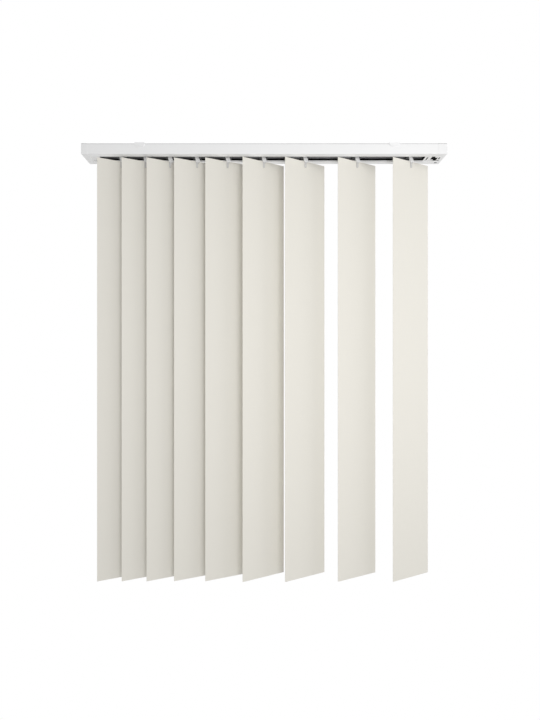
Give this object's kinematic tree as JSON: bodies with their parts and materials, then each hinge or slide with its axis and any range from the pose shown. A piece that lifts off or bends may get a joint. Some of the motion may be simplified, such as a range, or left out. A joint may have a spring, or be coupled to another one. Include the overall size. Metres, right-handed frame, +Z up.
{
  "type": "vertical blind",
  "caption": "Vertical blind with flat stiff slats hung from geared carriers in a ceiling-fixed head rail; the slats draw sideways and tilt together.",
  "frame": {"origin": "on the ceiling face, midway between the screw holes of the two brackets", "axes": "+X along the rail to the control end, +Y from the room to the window, +Z up"},
  "size_m": [1.024, 0.0532, 1.2286],
  "materials": {
    "rail": "satin white powder coat",
    "cap": "fine satin moulding",
    "bracket": "white spring steel",
    "rod": "drawn, grey anodised",
    "gear": "dark acetal",
    "carrier": "dark acetal",
    "stem": "white acetal",
    "axle": "drawn",
    "spacer": "dark spring strip",
    "slat": "fine woven emboss"
  },
  "bodies": {
    "frame": {"headrail": "rail", "end_cap_left": "cap", "end_cap_right": "cap", "bracket_left": "bracket", "bracket_right": "bracket", "pulley_axle": "axle"},
    "tilt_drive": {"tilt_rod": "rod", "chain_sprocket": "gear"},
    "return_wheel": {"return_pulley": "gear"},
    "front_wheel": {"cord_pulley_front": "gear"},
    "rear_wheel": {"cord_pulley_rear": "gear"},
    "runner_9": {"carrier_9": "carrier"},
    "worm_gear_9": {"worm_9": "gear"},
    "vane_9": {"stem_9": "stem", "slat_9": "slat"},
    "runner_8": {"carrier_8": "carrier", "spacer_8": "spacer"},
    "worm_gear_8": {"worm_8": "gear"},
    "vane_8": {"stem_8": "stem", "slat_8": "slat"},
    "runner_7": {"carrier_7": "carrier", "spacer_7": "spacer"},
    "worm_gear_7": {"worm_7": "gear"},
    "vane_7": {"stem_7": "stem", "slat_7": "slat"},
    "runner_6": {"carrier_6": "carrier", "spacer_6": "spacer"},
    "worm_gear_6": {"worm_6": "gear"},
    "vane_6": {"stem_6": "stem", "slat_6": "slat"},
    "runner_5": {"carrier_5": "carrier", "spacer_5": "spacer"},
    "worm_gear_5": {"worm_5": "gear"},
    "vane_5": {"stem_5": "stem", "slat_5": "slat"},
    "runner_4": {"carrier_4": "carrier", "spacer_4": "spacer"},
    "worm_gear_4": {"worm_4": "gear"},
    "vane_4": {"stem_4": "stem", "slat_4": "slat"},
    "runner_3": {"carrier_3": "carrier", "spacer_3": "spacer"},
    "worm_gear_3": {"worm_3": "gear"},
    "vane_3": {"stem_3": "stem", "slat_3": "slat"},
    "runner_2": {"carrier_2": "carrier", "spacer_2": "spacer"},
    "worm_gear_2": {"worm_2": "gear"},
    "vane_2": {"stem_2": "stem", "slat_2": "slat"},
    "runner_1": {"carrier_1": "carrier", "spacer_1": "spacer"},
    "worm_gear_1": {"worm_1": "gear"},
    "vane_1": {"stem_1": "stem", "slat_1": "slat"}
  },
  "joints": [
    {"name": "draw", "type": "slide", "parent": "frame", "child": "runner_9", "axis": [1, 0, 0], "range_m": [-0.63504, 0.025]},
    {"name": "tilt", "type": "hinge", "parent": "runner_9", "child": "vane_9", "pos_m": [0.41204, 0, -0.0205], "axis": [0, 0, 1], "range_deg": [-9, 150]},
    {"name": "worm_turn_9", "type": "hinge", "parent": "runner_9", "child": "worm_gear_9", "pos_m": [0.41204, 0.0113, -0.0205], "axis": [1, 0, 0], "range_deg": [-90, 1500]},
    {"name": "draw_8", "type": "slide", "parent": "frame", "child": "runner_8", "axis": [1, 0, 0], "range_m": [-0.51104, 0.02012]},
    {"name": "tilt_8", "type": "hinge", "parent": "runner_8", "child": "vane_8", "pos_m": [0.25804, 0, -0.0205], "axis": [0, 0, 1], "range_deg": [-9, 150]},
    {"name": "worm_turn_8", "type": "hinge", "parent": "runner_8", "child": "worm_gear_8", "pos_m": [0.25804, 0.0113, -0.0205], "axis": [1, 0, 0], "range_deg": [-90, 1500]},
    {"name": "draw_7", "type": "slide", "parent": "frame", "child": "runner_7", "axis": [1, 0, 0], "range_m": [-0.39255, 0.01545]},
    {"name": "tilt_7", "type": "hinge", "parent": "runner_7", "child": "vane_7", "pos_m": [0.10955, 0, -0.0205], "axis": [0, 0, 1], "range_deg": [-9, 150]},
    {"name": "worm_turn_7", "type": "hinge", "parent": "runner_7", "child": "worm_gear_7", "pos_m": [0.10955, 0.0113, -0.0205], "axis": [1, 0, 0], "range_deg": [-90, 1500]},
    {"name": "draw_6", "type": "slide", "parent": "frame", "child": "runner_6", "axis": [1, 0, 0], "range_m": [-0.30346, 0.01195]},
    {"name": "tilt_6", "type": "hinge", "parent": "runner_6", "child": "vane_6", "pos_m": [-0.00954, 0, -0.0205], "axis": [0, 0, 1], "range_deg": [-9, 150]},
    {"name": "worm_turn_6", "type": "hinge", "parent": "runner_6", "child": "worm_gear_6", "pos_m": [-0.00954, 0.0113, -0.0205], "axis": [1, 0, 0], "range_deg": [-90, 1500]},
    {"name": "draw_5", "type": "slide", "parent": "frame", "child": "runner_5", "axis": [1, 0, 0], "range_m": [-0.22984, 0.00905]},
    {"name": "tilt_5", "type": "hinge", "parent": "runner_5", "child": "vane_5", "pos_m": [-0.11317, 0, -0.0205], "axis": [0, 0, 1], "range_deg": [-9, 150]},
    {"name": "worm_turn_5", "type": "hinge", "parent": "runner_5", "child": "worm_gear_5", "pos_m": [-0.11317, 0.0113, -0.0205], "axis": [1, 0, 0], "range_deg": [-90, 1500]},
    {"name": "draw_4", "type": "slide", "parent": "frame", "child": "runner_4", "axis": [1, 0, 0], "range_m": [-0.17218, 0.00678]},
    {"name": "tilt_4", "type": "hinge", "parent": "runner_4", "child": "vane_4", "pos_m": [-0.20082, 0, -0.0205], "axis": [0, 0, 1], "range_deg": [-9, 150]},
    {"name": "worm_turn_4", "type": "hinge", "parent": "runner_4", "child": "worm_gear_4", "pos_m": [-0.20082, 0.0113, -0.0205], "axis": [1, 0, 0], "range_deg": [-90, 1500]},
    {"name": "draw_3", "type": "slide", "parent": "frame", "child": "runner_3", "axis": [1, 0, 0], "range_m": [-0.12487, 0.00492]},
    {"name": "tilt_3", "type": "hinge", "parent": "runner_3", "child": "vane_3", "pos_m": [-0.27813, 0, -0.0205], "axis": [0, 0, 1], "range_deg": [-9, 150]},
    {"name": "worm_turn_3", "type": "hinge", "parent": "runner_3", "child": "worm_gear_3", "pos_m": [-0.27813, 0.0113, -0.0205], "axis": [1, 0, 0], "range_deg": [-90, 1500]},
    {"name": "draw_2", "type": "slide", "parent": "frame", "child": "runner_2", "axis": [1, 0, 0], "range_m": [-0.08503, 0.00335]},
    {"name": "tilt_2", "type": "hinge", "parent": "runner_2", "child": "vane_2", "pos_m": [-0.34797, 0, -0.0205], "axis": [0, 0, 1], "range_deg": [-9, 150]},
    {"name": "worm_turn_2", "type": "hinge", "parent": "runner_2", "child": "worm_gear_2", "pos_m": [-0.34797, 0.0113, -0.0205], "axis": [1, 0, 0], "range_deg": [-90, 1500]},
    {"name": "draw_1", "type": "slide", "parent": "frame", "child": "runner_1", "axis": [1, 0, 0], "range_m": [-0.04622, 0.00182]},
    {"name": "tilt_1", "type": "hinge", "parent": "runner_1", "child": "vane_1", "pos_m": [-0.41678, 0, -0.0205], "axis": [0, 0, 1], "range_deg": [-9, 150]},
    {"name": "worm_turn_1", "type": "hinge", "parent": "runner_1", "child": "worm_gear_1", "pos_m": [-0.41678, 0.0113, -0.0205], "axis": [1, 0, 0], "range_deg": [-90, 1500]},
    {"name": "rod_turn", "type": "hinge", "parent": "frame", "child": "tilt_drive", "pos_m": [0, 0.0113, -0.0205], "axis": [1, 0, 0], "range_deg": [-90, 1500]},
    {"name": "return_turn", "type": "hinge", "parent": "frame", "child": "return_wheel", "pos_m": [-0.49, -0.0025, -0.0075], "axis": [0, 0, 1], "continuous": true},
    {"name": "front_turn", "type": "hinge", "parent": "frame", "child": "front_wheel", "pos_m": [0.4755, -0.012, -0.0125], "axis": [0, 1, 0], "continuous": true},
    {"name": "rear_turn", "type": "hinge", "parent": "frame", "child": "rear_wheel", "pos_m": [0.4755, 0.007, -0.0125], "axis": [0, 1, 0], "continuous": true}
  ],
  "couplings": [
    {"joint": "worm_turn_9", "follows": "tilt", "ratio": 10},
    {"joint": "draw_8", "follows": "draw", "ratio": 0.80472},
    {"joint": "tilt_8", "follows": "tilt", "ratio": 1},
    {"joint": "worm_turn_8", "follows": "tilt", "ratio": 10},
    {"joint": "draw_7", "follows": "draw", "ratio": 0.61815},
    {"joint": "tilt_7", "follows": "tilt", "ratio": 1},
    {"joint": "worm_turn_7", "follows": "tilt", "ratio": 10},
    {"joint": "draw_6", "follows": "draw", "ratio": 0.47786},
    {"joint": "tilt_6", "follows": "tilt", "ratio": 1},
    {"joint": "worm_turn_6", "follows": "tilt", "ratio": 10},
    {"joint": "draw_5", "follows": "draw", "ratio": 0.36192},
    {"joint": "tilt_5", "follows": "tilt", "ratio": 1},
    {"joint": "worm_turn_5", "follows": "tilt", "ratio": 10},
    {"joint": "draw_4", "follows": "draw", "ratio": 0.27113},
    {"joint": "tilt_4", "follows": "tilt", "ratio": 1},
    {"joint": "worm_turn_4", "follows": "tilt", "ratio": 10},
    {"joint": "draw_3", "follows": "draw", "ratio": 0.19663},
    {"joint": "tilt_3", "follows": "tilt", "ratio": 1},
    {"joint": "worm_turn_3", "follows": "tilt", "ratio": 10},
    {"joint": "draw_2", "follows": "draw", "ratio": 0.1339},
    {"joint": "tilt_2", "follows": "tilt", "ratio": 1},
    {"joint": "worm_turn_2", "follows": "tilt", "ratio": 10},
    {"joint": "draw_1", "follows": "draw", "ratio": 0.072781},
    {"joint": "tilt_1", "follows": "tilt", "ratio": 1},
    {"joint": "worm_turn_1", "follows": "tilt", "ratio": 10},
    {"joint": "rod_turn", "follows": "tilt", "ratio": 10},
    {"joint": "return_turn", "follows": "draw", "rad_per_m": 105.26},
    {"joint": "front_turn", "follows": "draw", "rad_per_m": 294.12},
    {"joint": "rear_turn", "follows": "draw", "rad_per_m": -294.12}
  ]
}
